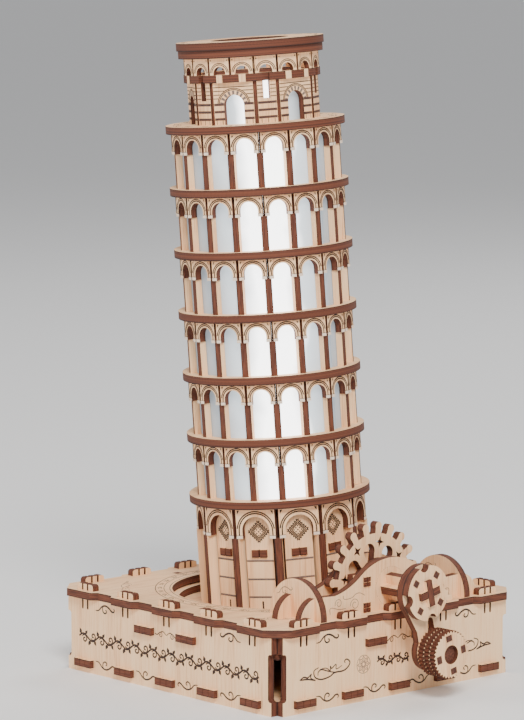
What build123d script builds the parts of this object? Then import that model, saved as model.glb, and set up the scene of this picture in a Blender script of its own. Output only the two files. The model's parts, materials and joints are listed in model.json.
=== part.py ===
from build123d import *
from math import asin, cos, degrees, radians, sin, sqrt, tan
import os

# Laser-cut plywood model: a leaning arcaded tower on a turntable, set in a square base box and
# turned by a hand crank through a pair of peg gears. The origin is the centre of the base's
# underside, +Z is up, -Y is the front wall and +X is the crank side. Sizes are in millimetres.

ply = 4.0
snug = 0.05

# Base box
wall_inner = 79.0
wall_outer = wall_inner + ply
wall_height = 39.4
deck_top = wall_height + ply
tab_pitch = 32.5
tab_count = 5
deck_tab_width = 12.6
deck_tab_rise = 3.3
deck_tab_corner = 1.5
deck_slit_width = 1.2
deck_slit_spacing = 4.0
deck_slit_depth = 6.0
floor_z = 3.1
shelf_z = 27.7
board_tab_width = 13.2
board_tab_reach = 2.4
board_slit_width = 0.3
corner_notch_width = 4.8
corner_notch_height = 24.0
corner_notch_z = 19.0
deck_overhang = 3.2
deck_corner_chamfer = 10.0
scallop_half_width = 8.4
scallop_slope = 3.0
scallop_depth = 3.0
hole_radius = 60.0
shelf_hole_radius = 69.8

# Pivot and turntable
pivot_radius = 9.0
cable_radius = 4.0
pivot_base_radius = 18.0
turn_gear_z = 24.7
turn_gear_teeth = 45
turn_gear_root = 61.0
turn_gear_tip = 66.4
turn_gear_peg_width = 2.6
turn_disc_z = 31.0
turn_disc_top = turn_disc_z + ply
turn_disc_radius = 60.8
rim_inner_radius = 56.5
rim_height = 3.9

# Crank: everything on the axle is turned by rest_turn from the arm hanging straight down
axle_z = 55.0
axle_width = 13.4
axle_back = 56.0
axle_front = 106.4
rest_turn = 11.9
collar_radius = 10.0
gear_x = 61.6
gear_teeth = 20
gear_root = 25.4
gear_tip = 31.2
gear_tooth_width = 4.4
panel_inner_x = 56.6
panel_outer_x = 73.4
support_x = 67.4
arm_x = 96.6
crank_disc_x = arm_x + ply
crank_disc_radius = 14.1
crank_notch_radius = 3.0
crank_length = 31.4
arm_end_radius = 10.2
arm_waist = 7.8
crank_pin_radius = 4.75
key_size = 3.2
key_circle = 10.2
knob_x = 102.6
knob_radius = 12.2
knob_valley_radius = 11.0
knob_teeth = 36
knob_key_circle = 8.6
knob_key_depth = 3.0
knob_key_width = 3.8
pin_recess = 2.5

# Crank housing
gear_slot_length = 59.0
cheek_x = 63.5
cheek_radius = 18.7
cheek_centre_z = 44.5
cheek_y = 48.6
cheek_tab_places = (50.0, 67.2, 79.4)
cheek_tab_width = 4.4
lap_z = 49.4
panel_tab_y = 38.0
panel_tab_width = 12.0
panel_foot_y = 62.0
panel_top_z = 69.6

# Tower, in its own leaning frame with the origin where its axis meets the deck level
lean = 3.82
lean_turn = 233.7
seat_x = -0.85
seat_z = 46.0
ring_radius = 46.2
ground_ring_radius = 47.1
tube_radius = 39.3
tube_wall = 1.2
ground_height = 46.9
gallery_height = 27.9
storey = gallery_height + ply
gallery_count = 6
gallery_bays = 18
gallery_arch_height = 10.3
gallery_arch_radius = 4.7
gallery_front = 43.6
gallery_post_outer = 43.0
gallery_post_width = 3.4
ground_bays = 12
ground_front = 43.0
ground_arch_height = 15.5
ground_arch_radius = 7.3
ground_panel_front = 39.0
ground_fin_outer = 44.6
tab_ring_z = 21.0

# Belfry
drum_height = 21.4
drum_radius = 34.2
drum_wall = 3.6
drum_gap = 1.0
drum_post_outer = 33.4
window_half = 5.3
window_springing = 9.8
slit_width = 3.4
slit_foot = 12.4
arch_gap = 0.01
band_radius = 34.9
small_arch_height = 8.5
small_arch_radius = 3.4
small_arch_corner = 35.1
cornice_radius = 37.2
crown_radius = 38.0
crown_hole_radius = 20.0
belfry_inner = 27.0

ground_ring_z = ground_height
belfry_z = ground_height + ply + gallery_count * storey
small_arch_z = belfry_z + drum_height + ply
cornice_z = small_arch_z + small_arch_height
crown_z = cornice_z + ply
lean_side = degrees(asin(sin(radians(lean)) * cos(radians(lean_turn))))
lean_front = degrees(asin(-sin(radians(lean)) * sin(radians(lean_turn)) / cos(radians(lean_side))))
tower = Location((seat_x, 0, seat_z), (lean_front, lean_side, 0))

wall_sides = {
    "front": Plane(origin=(0, -wall_inner, 0), x_dir=(1, 0, 0), z_dir=(0, -1, 0)),
    "right": Plane(origin=(wall_inner, 0, 0), x_dir=(0, 1, 0), z_dir=(1, 0, 0)),
    "back": Plane(origin=(0, wall_inner, 0), x_dir=(-1, 0, 0), z_dir=(0, 1, 0)),
    "left": Plane(origin=(-wall_inner, 0, 0), x_dir=(0, -1, 0), z_dir=(-1, 0, 0)),
}
tab_places = [(i - (tab_count - 1) / 2) * tab_pitch for i in range(tab_count)]
shelf_places = [-tab_pitch / 2, tab_pitch / 2]


def place(x, y, turn=0):
    return Location((x, y, 0), (0, 0, turn))


def flat(sketch, z, thickness=ply):
    return Pos(0, 0, z) * extrude(sketch, thickness)


def facing_x(sketch, x, thickness=ply):
    """A board whose sketch is drawn in Y and Z, from X = x towards +X."""
    return extrude(Plane(origin=(x, 0, 0), x_dir=(0, 1, 0), z_dir=(1, 0, 0)) * sketch, thickness)


def facing_y(sketch, y, thickness=ply):
    """A board whose sketch is drawn in X and Z, from Y = y towards -Y."""
    return extrude(Plane(origin=(0, y, 0), x_dir=(1, 0, 0), z_dir=(0, -1, 0)) * sketch, thickness)


def around(piece, count, start=0.0):
    return [Rot(0, 0, start + i * 360 / count) * piece for i in range(count)]


def solids(pieces):
    found = [solid for piece in pieces for solid in piece.solids()]
    return found[0] if len(found) == 1 else Compound(children=found)


def annulus(outer, inner):
    return Circle(outer) - Circle(inner)


# ---- Base box ----

def wall_sketch():
    board = Pos(0, wall_height / 2) * Rectangle(2 * wall_inner, wall_height)
    end_notch = RectangleRounded(corner_notch_width, corner_notch_height, 1.6)
    for side in (-1, 1):
        board -= Pos(side * wall_inner, corner_notch_z) * end_notch
    tab_top = deck_top + deck_tab_rise
    slit_length = tab_top - wall_height + deck_slit_depth
    for u in tab_places:
        tab = RectangleRounded(deck_tab_width, 2 * (tab_top - wall_height), deck_tab_corner)
        board += Pos(u, wall_height) * tab
        for side in (-0.5, 0.5):
            slit = SlotOverall(2 * slit_length, deck_slit_width, rotation=90)
            board -= Pos(u + side * deck_slit_spacing, tab_top) * slit
        board -= Pos(u, floor_z + ply / 2) * Rectangle(board_tab_width, ply)
    for u in shelf_places:
        board -= Pos(u, shelf_z + ply / 2) * Rectangle(board_tab_width, ply)
    return board


def side_tabs(places):
    """Three-fingered tabs of a horizontal board, each passing through its wall and standing proud."""
    reach = ply + board_tab_reach
    root = 2.0
    finger = (board_tab_width - 2 * board_slit_width) / 3
    tabs = []
    for turn in range(0, 360, 90):
        for u in places:
            for step in (-1, 0, 1):
                across = u + step * (finger + board_slit_width)
                block = Pos(wall_inner + (reach - root) / 2, across) * Rectangle(reach + root, finger)
                tabs.append(place(0, 0, turn) * block)
            solid_part = Pos(wall_inner + (ply - root) / 2, u) * Rectangle(ply + root, board_tab_width)
            tabs.append(place(0, 0, turn) * solid_part)
    return tabs


def bottom_plate():
    board = Rectangle(2 * wall_inner, 2 * wall_inner)
    for tab in side_tabs(tab_places):
        board += tab
    return flat(board - Circle(pivot_radius), floor_z)


def shelf_frame():
    board = Rectangle(2 * wall_inner, 2 * wall_inner)
    for tab in side_tabs(shelf_places):
        board += tab
    return flat(board - Circle(shelf_hole_radius), shelf_z)


def housing_slots():
    slots = []
    for x in (panel_inner_x, panel_outer_x):
        slots += [Pos(x + ply / 2, side * panel_tab_y) * Rectangle(ply, panel_tab_width) for side in (-1, 1)]
    for side in (-1, 1):
        for x in cheek_tab_places:
            slots.append(Pos(x, side * (cheek_y + ply / 2)) * Rectangle(cheek_tab_width, ply))
    return slots


def deck():
    half = wall_outer + deck_overhang
    board = chamfer(Rectangle(2 * half, 2 * half).vertices(), deck_corner_chamfer)
    bottom = scallop_half_width - scallop_slope
    scallop = Polygon((-scallop_half_width, 1), (-scallop_half_width, 0), (-bottom, -scallop_depth),
                      (bottom, -scallop_depth), (scallop_half_width, 0), (scallop_half_width, 1),
                      align=None)
    for turn in range(0, 360, 90):
        for u in (-1.5 * tab_pitch, -0.5 * tab_pitch, 0.5 * tab_pitch, 1.5 * tab_pitch):
            board -= place(0, 0, turn) * Pos(u, half) * scallop
        for u in tab_places:
            slot = Rectangle(deck_tab_width, ply)
            board -= place(0, 0, turn) * Pos(u, wall_inner + ply / 2) * slot
    board -= Circle(hole_radius)
    board -= Pos(gear_x + ply / 2 - 1.2, 0) * Rectangle(ply + 3.6, gear_slot_length)
    for slot in housing_slots():
        board -= slot
    return flat(board, wall_height)


# ---- Crank housing ----

def panel_sketch():
    outline = Polyline((panel_foot_y, deck_top), (-panel_foot_y, deck_top))
    left = ThreePointArc((-62, deck_top), (-58.9, 51.4), (-51, 55.2))
    left_top = Line((-51, 55.2), (-39, 54.5))
    left_rise = ThreePointArc((-39, 54.5), (-29.4, 57.3), (-20.6, 62.6))
    hump = ThreePointArc((-20.6, 62.6), (0, panel_top_z), (20.6, 62.6))
    right_rise = ThreePointArc((20.6, 62.6), (29.4, 57.3), (39, 54.5))
    right_top = Line((39, 54.5), (51, 55.2))
    right = ThreePointArc((51, 55.2), (58.9, 51.4), (62, deck_top))
    sketch = make_face([outline, left, left_top, left_rise, hump, right_rise, right_top, right])
    for side in (-1, 1):
        sketch += Pos(side * panel_tab_y, wall_height + ply / 2) * Rectangle(panel_tab_width, ply)
        lap = Rectangle(ply, 20)
        sketch -= Pos(side * (cheek_y + ply / 2), lap_z + 10) * lap
    return sketch - Pos(0, axle_z) * Circle(collar_radius + snug)


def tie_places():
    return [(y, z) for y in (-16.7, 16.7) for z in (46.1, 59.2)]


def outer_panel():
    sketch = panel_sketch()
    for y, z in tie_places():
        sketch -= Pos(y, z) * Rectangle(4.4, 4.8)
    return facing_x(sketch, panel_outer_x)


def axle_support():
    shoulder_z = 62.0
    sketch = Pos(0, (deck_top + shoulder_z) / 2) * Rectangle(41, shoulder_z - deck_top)
    sketch += (Pos(0, axle_z) * Circle(13.2)) & (Pos(0, deck_top + 20) * Rectangle(41, 40))
    sketch -= Pos(0, axle_z) * Circle(collar_radius + 1.5)
    return facing_x(sketch, support_x)


def support_ties():
    start = support_x + ply
    length = panel_outer_x + ply + 0.8 - start
    bars = []
    for y, z in tie_places():
        bar = Box(length, 4.4, 4.8)
        slit = Pos(length / 2, 0, 0) * (Box(1.6, 0.5, 4.8) + Box(1.6, 4.4, 0.5))
        bars.append(Pos(start + length / 2, y, z) * (bar - slit))
    return solids(bars)


def cheek_sketch():
    sketch = Pos(cheek_x, cheek_centre_z) * Circle(cheek_radius)
    sketch += Pos(cheek_x, (cheek_centre_z + deck_top) / 2) * Rectangle(
        2 * cheek_radius, cheek_centre_z - deck_top)
    sketch -= Pos(cheek_x, deck_top - 15) * Rectangle(60, 30)
    for x in cheek_tab_places:
        sketch += Pos(x, wall_height + ply / 2) * Rectangle(cheek_tab_width, ply)
    for x in (panel_inner_x, panel_outer_x):
        sketch -= Pos(x + ply / 2, lap_z - 10) * Rectangle(ply, 20)
    return sketch


# ---- Crank ----

def cross():
    return Rectangle(axle_width, ply) + Rectangle(ply, axle_width)


def on_axle(sketch, x, thickness=ply):
    """A board on the crank axle, drawn about the axle with the arm pointing down."""
    return facing_x(Pos(0, axle_z) * Rot(0, 0, rest_turn) * sketch, x, thickness)


def axle_plate(level):
    length = axle_front - axle_back
    half = length / 2
    plate = Box(length, axle_width, ply) if level else Box(length, ply, axle_width)
    slot = Pos(half / 2 if level else -half / 2, 0, 0) * Box(half, ply, ply)
    centre = Pos((axle_back + axle_front) / 2, 0, axle_z) * Rot(rest_turn, 0, 0)
    return centre * (plate - slot)


def drive_gear():
    sketch = Circle(gear_root)
    shank_root = gear_root - 2
    bulb = gear_tip - gear_tooth_width / 2
    for i in range(gear_teeth):
        turn = Rot(0, 0, i * 360 / gear_teeth)
        shank = Pos((shank_root + bulb) / 2, 0) * Rectangle(bulb - shank_root, 3.8)
        sketch += turn * (shank + Pos(bulb, 0) * Circle(gear_tooth_width / 2))
    window = Polygon((10.8, -1.9), (17, -3.8), (17, 3.8), (10.8, 1.9), align=None)
    window += Pos(17, 0) * Circle(3.8)
    star = Polygon((3.0, 0), (0.75, 0.75), (0, 3.0), (-0.75, 0.75), (-3.0, 0), (-0.75, -0.75), (0, -3.0),
                   (0.75, -0.75), align=None)
    for i in range(8):
        sketch -= Rot(0, 0, i * 45) * window
        sketch -= Rot(0, 0, 22.5 + i * 45) * Pos(21, 0) * star
    return on_axle(sketch - cross(), gear_x)


def axle_collars():
    disc = Circle(collar_radius) - cross()
    return solids([on_axle(disc, panel_inner_x), on_axle(disc, panel_outer_x)])


def crank_key_spots():
    return [Rot(0, 0, turn) * Pos(key_circle, 0) * Rectangle(key_size, key_size)
            for turn in (45, 135, 225, 315)]


def crank_arm():
    end = Pos(0, -crank_length)
    sketch = Circle(crank_disc_radius) + end * Circle(arm_end_radius)
    sketch += Polygon((-arm_waist, -26), (arm_waist, -26), (arm_waist, -19), (12.4, -6.5), (-12.4, -6.5),
                      (-arm_waist, -19), align=None)
    sketch -= Pos(2, -18.4) * SlotOverall(8, 4.4, rotation=90)
    sketch = sketch - cross() - end * Circle(crank_pin_radius)
    for spot in crank_key_spots():
        sketch -= spot
    return on_axle(sketch, arm_x)


def crank_disc():
    sketch = Circle(crank_disc_radius) - cross()
    for turn in range(0, 360, 90):
        sketch -= Rot(0, 0, turn) * Pos(crank_disc_radius, 0) * Circle(crank_notch_radius)
    for spot in crank_key_spots():
        sketch -= spot
    return on_axle(sketch, crank_disc_x)


def crank_keys():
    return solids([on_axle(spot, arm_x, 2 * ply + 0.3) for spot in crank_key_spots()])


def crank_pin():
    length = knob_x + 3 * ply - pin_recess - arm_x
    return on_axle(Pos(0, -crank_length) * Circle(crank_pin_radius), arm_x, length)


def knob_key_spots():
    return [Rot(0, 0, turn) * Pos(knob_key_circle, 0) * Rectangle(knob_key_depth, knob_key_width)
            for turn in range(0, 360, 90)]


def knob_layer(index):
    points = []
    for i in range(2 * knob_teeth):
        reach = knob_valley_radius if i % 2 else knob_radius
        turn = radians((i + index % 2) * 180 / knob_teeth)
        points.append((reach * cos(turn), reach * sin(turn)))
    sketch = Polygon(*points, align=None) - Circle(crank_pin_radius + snug)
    for spot in knob_key_spots():
        sketch -= spot
    return on_axle(Pos(0, -crank_length) * sketch, knob_x + index * ply)


def knob_keys():
    keys = [Pos(0, -crank_length) * spot for spot in knob_key_spots()]
    return solids([on_axle(key, knob_x, 3 * ply + 0.3) for key in keys])


# ---- Pivot and turntable ----

def turn_gear():
    sketch = Circle(turn_gear_root)
    gap_turn = 270 + 180 / gear_teeth - (270 - rest_turn) % (360 / gear_teeth)
    mesh_y = (gear_root + gear_tip) / 2 * sin(radians(gap_turn - 270))
    mesh_turn = degrees(mesh_y / (gear_x + ply / 2))
    length = turn_gear_tip - turn_gear_root + 2
    for i in range(turn_gear_teeth):
        peg = Pos(turn_gear_tip - length / 2, 0) * Rectangle(length, turn_gear_peg_width)
        sketch += Rot(0, 0, mesh_turn + i * 360 / turn_gear_teeth) * peg
    sketch -= Circle(pivot_radius + snug)
    for i in range(6):
        sketch -= Rot(0, 0, 30 + i * 60) * Pos(40, 0) * Circle(12)
    return flat(sketch, turn_gear_z)


def turn_hub():
    ring = annulus(22, pivot_radius + snug)
    lower = flat(ring, turn_gear_z - 2, 2)
    upper_z = turn_gear_z + ply
    upper = flat(ring, upper_z, turn_disc_z - upper_z)
    return solids([lower, upper])


def seat_height(along):
    """Height of the tower's underside at a distance along the direction of its lean."""
    return seat_z - (along - seat_x * cos(radians(lean_turn))) * tan(radians(lean))


def seat_ribs():
    ribs = []
    for y in (-24, -12, 12, 24):
        half = sqrt(32.5 ** 2 - y ** 2)
        outline = Polygon((-half, turn_disc_top), (half, turn_disc_top), (half, seat_height(half)),
                          (-half, seat_height(-half)), align=None)
        ribs.append(Rot(0, 0, lean_turn) * facing_y(outline, y + ply / 2))
    return solids(ribs)


# ---- Tower ----

def stand(pieces):
    return solids([tower * piece for piece in pieces])


def stand_on_disc(pieces):
    below = Pos(0, 0, turn_disc_top - 50) * Box(300, 300, 100)
    return solids([tower * piece - below for piece in pieces])


def arch_plate(front, half_width, height, radius, crown, z, thickness=ply):
    """A flat arch plate with its bottom at z, standing at the given apothem on the +X side."""
    sketch = Pos(0, height / 2) * Rectangle(2 * half_width, height)
    springing = height - crown - radius
    sketch -= Pos(0, springing) * Circle(radius)
    if springing > 0:
        sketch -= Pos(0, springing / 2) * Rectangle(2 * radius, springing)
    return Pos(0, 0, z) * facing_x(sketch, front - thickness, thickness)


def ground_fins():
    half_turn = 180 / ground_bays
    low_top = ground_height - ground_arch_height
    lower = Pos((35.3 + ground_fin_outer) / 2, 0, (low_top - 16) / 2) * Box(
        ground_fin_outer - 35.3, ply, low_top + 16)
    upper = Pos((35.3 + 38.9) / 2, 0, (low_top + ground_height) / 2) * Box(
        38.9 - 35.3, ply, ground_arch_height)
    return stand_on_disc(around(lower + upper, ground_bays, half_turn))


def ground_panels():
    sketch = Pos(0, (ground_height - 16) / 2) * Rectangle(14.6, ground_height + 16)
    sketch -= Pos(0, tab_ring_z + ply / 2) * Rectangle(8, ply)
    panel = facing_x(sketch, ground_panel_front - ply)
    return stand_on_disc(around(panel, ground_bays))


def ground_arches():
    half_width = (ground_front - ply) * tan(radians(180 / ground_bays)) - arch_gap
    plate = arch_plate(ground_front, half_width, ground_arch_height, ground_arch_radius, 4.1,
                       ground_height - ground_arch_height)
    return stand(around(plate, ground_bays))


def ground_tab_ring():
    sketch = annulus(34.9, 26)
    for i in range(ground_bays):
        tab = Pos(37.3, 0) * Rectangle(6, 8) - Pos(40, 0) * Rectangle(2.4, 0.7)
        sketch += Rot(0, 0, i * 360 / ground_bays) * tab
    return stand([flat(sketch, tab_ring_z)])


def gallery_floor(index):
    return ground_ring_z + ply + index * storey


def gallery_posts():
    height = gallery_height - gallery_arch_height
    depth = gallery_post_outer - tube_radius - 0.2
    posts = []
    for level in range(gallery_count):
        post = Pos(gallery_post_outer - depth / 2, 0, gallery_floor(level) + height / 2) * Box(
            depth, gallery_post_width, height)
        posts += around(post, gallery_bays)
    return stand(posts)


def gallery_arches(level):
    half_width = (gallery_front - ply) * tan(radians(180 / gallery_bays)) - arch_gap
    z = gallery_floor(level) + gallery_height - gallery_arch_height
    plate = arch_plate(gallery_front, half_width, gallery_arch_height, gallery_arch_radius, 2.6, z)
    return stand(around(plate, gallery_bays, 180 / gallery_bays))


def gallery_ring(level):
    z = ground_ring_z + level * storey
    inner = belfry_inner if level in (0, gallery_count) else tube_radius
    outer = ground_ring_radius if level == 0 else ring_radius
    return stand([flat(annulus(outer, inner), z)])


def diffuser_tubes():
    low = gallery_floor(0)
    length = belfry_z - ply - low
    main = flat(annulus(tube_radius, tube_radius - tube_wall), low, length)
    main -= Rot(0, 0, 10) * Pos(tube_radius, 0, low + length / 2) * Box(6, 0.8, length)
    small = flat(annulus(28.3, belfry_inner), belfry_z, drum_height)
    return stand([main, small])


def lamp_post():
    top = belfry_z - 2 * ply
    return stand([flat(annulus(8, 6.5), ply, top - ply)])


# ---- Belfry ----

def drum_panel(span, opening):
    half = radians(span / 2)
    front = drum_radius * cos(half)
    back = front - drum_wall
    near, far = back * tan(half) - drum_gap, front * tan(half) - drum_gap
    outline = Polygon((back, -near), (front, -far), (front, far), (back, near), align=None)
    cutter = facing_x(opening, back - 1, drum_wall + 2)
    return Pos(0, 0, belfry_z) * (extrude(outline, drum_height) - cutter)


def wide_panels():
    opening = Pos(0, window_springing / 2) * Rectangle(2 * window_half, window_springing)
    opening += Pos(0, window_springing) * Circle(window_half)
    return stand(around(drum_panel(40, opening), 6))


def narrow_panels():
    opening = Pos(0, drum_height) * Rectangle(slit_width, 2 * (drum_height - slit_foot))
    return stand(around(drum_panel(20, opening), 6, 30))


def drum_posts():
    """Fins that fill the joints between the drum panels, a little behind their faces."""
    outline = Polygon((29.0, -0.9), (drum_post_outer, -0.9), (drum_post_outer, 0.9), (29.0, 0.9), align=None)
    post = Pos(0, 0, belfry_z) * extrude(outline, drum_height)
    return stand(around(post, 6, 20) + around(post, 6, 40))


def belfry_band():
    sketch = annulus(band_radius, belfry_inner)
    for i in range(gallery_bays):
        if i % 3 != 1:
            block = Pos(band_radius, 0) * Rectangle(4, 3.4)
            sketch -= Rot(0, 0, 10 + i * 20) * block
    for i in range(6):
        sketch -= Rot(0, 0, 30 + i * 60) * Pos(band_radius, 0) * Rectangle(5, 3.4)
    return stand([flat(sketch, belfry_z + drum_height)])


def belfry_key_blocks():
    block = Pos(34.0, 0, belfry_z + drum_height + ply / 2) * Box(2.2, 3.4, ply)
    return stand([Rot(0, 0, 10 + i * 20) * block for i in range(gallery_bays) if i % 3 != 1])


def belfry_arches():
    front = small_arch_corner * cos(radians(10))
    half_width = (front - 3) * tan(radians(10)) - snug
    plate = arch_plate(front, half_width, small_arch_height, small_arch_radius, 4.3,
                       small_arch_z, 3.0)
    return stand(around(plate, gallery_bays, 10))


nodes = {f"wall_{name}": extrude(side * wall_sketch(), ply) for name, side in wall_sides.items()}
nodes["bottom_plate"] = bottom_plate()
nodes["shelf_frame"] = shelf_frame()
nodes["deck"] = deck()
nodes["panel_inner"] = facing_x(panel_sketch(), panel_inner_x)
nodes["panel_outer"] = outer_panel()
nodes["cheeks"] = solids([facing_y(cheek_sketch(), y) for y in (-cheek_y, cheek_y + ply)])
nodes["axle_support"] = axle_support()
nodes["support_ties"] = support_ties()
nodes["pivot_base"] = flat(annulus(pivot_base_radius, pivot_radius), floor_z + ply,
                           turn_gear_z - 2.2 - floor_z - ply)
nodes["pivot_tube"] = flat(annulus(pivot_radius, cable_radius), 0, 36)

nodes["axle_plate_flat"] = axle_plate(True)
nodes["axle_plate_upright"] = axle_plate(False)
nodes["drive_gear"] = drive_gear()
nodes["axle_collars"] = axle_collars()
nodes["crank_arm"] = crank_arm()
nodes["crank_disc"] = crank_disc()
nodes["crank_keys"] = crank_keys()
nodes["crank_pin"] = crank_pin()
for index, name in enumerate(("back", "middle", "front")):
    nodes[f"knob_layer_{name}"] = knob_layer(index)
nodes["knob_keys"] = knob_keys()

nodes["turn_gear"] = turn_gear()
nodes["turn_hub"] = turn_hub()
nodes["turn_disc"] = flat(annulus(turn_disc_radius, pivot_radius + snug), turn_disc_z)
nodes["rim_ring"] = flat(annulus(turn_disc_radius, rim_inner_radius), turn_disc_top, rim_height)
nodes["seat_ribs"] = seat_ribs()

nodes["tower_floor"] = stand([flat(annulus(34, 9), 0)])
nodes["ground_fins"] = ground_fins()
nodes["ground_panels"] = ground_panels()
nodes["ground_arches"] = ground_arches()
nodes["ground_tab_ring"] = ground_tab_ring()
for level in range(gallery_count + 1):
    nodes[f"ring_{level}"] = gallery_ring(level)
for level in range(gallery_count):
    nodes[f"gallery_arches_{level + 1}"] = gallery_arches(level)
nodes["gallery_posts"] = gallery_posts()
nodes["diffuser_tubes"] = diffuser_tubes()
nodes["lamp_post"] = lamp_post()

nodes["drum_wide_panels"] = wide_panels()
nodes["drum_narrow_panels"] = narrow_panels()
nodes["drum_posts"] = drum_posts()
nodes["belfry_band"] = belfry_band()
nodes["belfry_key_blocks"] = belfry_key_blocks()
nodes["belfry_arches"] = belfry_arches()
nodes["cornice"] = stand([flat(annulus(cornice_radius, belfry_inner), cornice_z)])
nodes["crown"] = stand([flat(annulus(crown_radius, crown_hole_radius), crown_z)])

os.makedirs("parts", exist_ok=True)
for name, shape in nodes.items():
    export_step(shape, f"parts/{name}.step")
print(len(nodes), "nodes")
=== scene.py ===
import json
import math
import random

import bmesh
import bpy
from mathutils import Matrix, Vector


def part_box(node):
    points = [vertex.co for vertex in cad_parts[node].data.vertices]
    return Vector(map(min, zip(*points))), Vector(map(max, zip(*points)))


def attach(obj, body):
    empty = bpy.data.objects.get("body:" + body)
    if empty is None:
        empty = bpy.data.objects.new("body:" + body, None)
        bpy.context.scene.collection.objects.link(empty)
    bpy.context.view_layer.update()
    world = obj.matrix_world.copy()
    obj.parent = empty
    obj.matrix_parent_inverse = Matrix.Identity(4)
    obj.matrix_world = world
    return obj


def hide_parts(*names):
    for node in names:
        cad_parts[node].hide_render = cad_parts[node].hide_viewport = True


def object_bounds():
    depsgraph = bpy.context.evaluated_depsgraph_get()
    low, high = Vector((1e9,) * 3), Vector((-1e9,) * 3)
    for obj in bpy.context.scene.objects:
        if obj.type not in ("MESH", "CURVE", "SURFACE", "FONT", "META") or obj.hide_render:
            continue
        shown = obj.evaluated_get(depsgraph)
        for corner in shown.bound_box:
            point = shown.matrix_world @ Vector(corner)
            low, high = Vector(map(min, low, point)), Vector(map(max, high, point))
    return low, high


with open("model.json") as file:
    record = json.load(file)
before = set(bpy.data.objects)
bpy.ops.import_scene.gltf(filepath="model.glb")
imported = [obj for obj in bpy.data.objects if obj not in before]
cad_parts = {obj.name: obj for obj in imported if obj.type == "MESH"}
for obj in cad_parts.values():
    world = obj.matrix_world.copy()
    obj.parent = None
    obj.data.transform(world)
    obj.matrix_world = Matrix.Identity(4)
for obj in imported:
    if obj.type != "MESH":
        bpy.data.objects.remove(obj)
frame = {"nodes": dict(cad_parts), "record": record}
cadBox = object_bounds()
bodyOf = {node: body for body, nodes in frame["record"]["behaviour"]["bodies"].items() for node in nodes}
mm = 0.001
xAxis, yAxis, zAxis = Vector((1, 0, 0)), Vector((0, 1, 0)), Vector((0, 0, 1))


def boxCentre(node):
    low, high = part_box(node)
    return (low + high) / 2


# The tower leans, so its pieces are made upright on its own axis and then tilted into place.
# Heights on that axis are counted from the tower's foot.
ringHeight = 48.9 * mm  # middle of the lowest ledge
towerAxis = (boxCentre("crown") - boxCentre("ring_0")).normalized()
towerFoot = boxCentre("ring_0") - towerAxis * ringHeight
leanFront = Matrix.Rotation(math.atan2(-towerAxis.y, towerAxis.z), 4, "X")
leanSide = Matrix.Rotation(math.asin(towerAxis.x), 4, "Y")
towerFrame = Matrix.Translation(towerFoot) @ (leanFront @ leanSide)
crankCentre = Vector((0, boxCentre("drive_gear").y, boxCentre("axle_collars").z))
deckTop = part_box("deck")[1].z
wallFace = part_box("wall_front")[0].y * -1


cameraSetup = {"place": (1.28045, -1.17857, 0.36866), "look": (-0.7357, 0.6671, -0.1172), "lens": 168.7}
studio = {
    "floorSize": 80.0,
    "floorColour": (0.88, 0.88, 0.88, 1),
    "floorRoughness": 0.7,
    "airColour": (0.78, 0.785, 0.80, 1),
    "airStrength": 0.62,
    "lights": [
        ("keyLight", (1.6, -1.1, 1.75), 0.9, 70.0, (1, 0.965, 0.92)),
        ("fillLight", (-1.3, -2.1, 1.3), 1.5, 26.0, (1, 0.98, 0.96)),
        ("rimLight", (-0.6, 1.9, 1.9), 1.2, 20.0, (1, 1, 1)),
    ],
}


def makeCamera():
    data = bpy.data.cameras.new("camera")
    camera = bpy.data.objects.new("camera", data)
    bpy.context.scene.collection.objects.link(camera)
    camera.location = cameraSetup["place"]
    camera.rotation_euler = Vector(cameraSetup["look"]).to_track_quat("-Z", "Y").to_euler()
    data.lens = cameraSetup["lens"]
    data.clip_start, data.clip_end = 0.05, 50
    bpy.context.scene.camera = camera


def startMaterial(name, roughness):
    material = bpy.data.materials.new(name)
    material.use_nodes = True
    tree = material.node_tree
    shader = tree.nodes["Principled BSDF"]
    shader.inputs["Roughness"].default_value = roughness
    return material, tree, shader


def makeStudio():
    half = studio["floorSize"] / 2
    mesh = bpy.data.meshes.new("floor")
    corners = [(-half, -half, 0), (half, -half, 0), (half, half, 0), (-half, half, 0)]
    mesh.from_pydata(corners, [], [(0, 1, 2, 3)])
    finish, _, shader = startMaterial("paleFloor", studio["floorRoughness"])
    shader.inputs["Base Color"].default_value = studio["floorColour"]
    mesh.materials.append(finish)
    floor = bpy.data.objects.new("floor", mesh)
    bpy.context.scene.collection.objects.link(floor)
    world = bpy.data.worlds.new("studioAir")
    world.use_nodes = True
    air = world.node_tree.nodes["Background"]
    air.inputs["Color"].default_value = studio["airColour"]
    air.inputs["Strength"].default_value = studio["airStrength"]
    bpy.context.scene.world = world
    middle = (cadBox[0] + cadBox[1]) / 2
    for name, place, size, power, colour in studio["lights"]:
        data = bpy.data.lights.new(name, "AREA")
        data.shape, data.size, data.energy, data.color = "DISK", size, power, colour
        light = bpy.data.objects.new(name, data)
        bpy.context.scene.collection.objects.link(light)
        light.location = place
        light.rotation_euler = (middle - Vector(place)).to_track_quat("-Z", "Y").to_euler()
    print("studio made")


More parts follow.
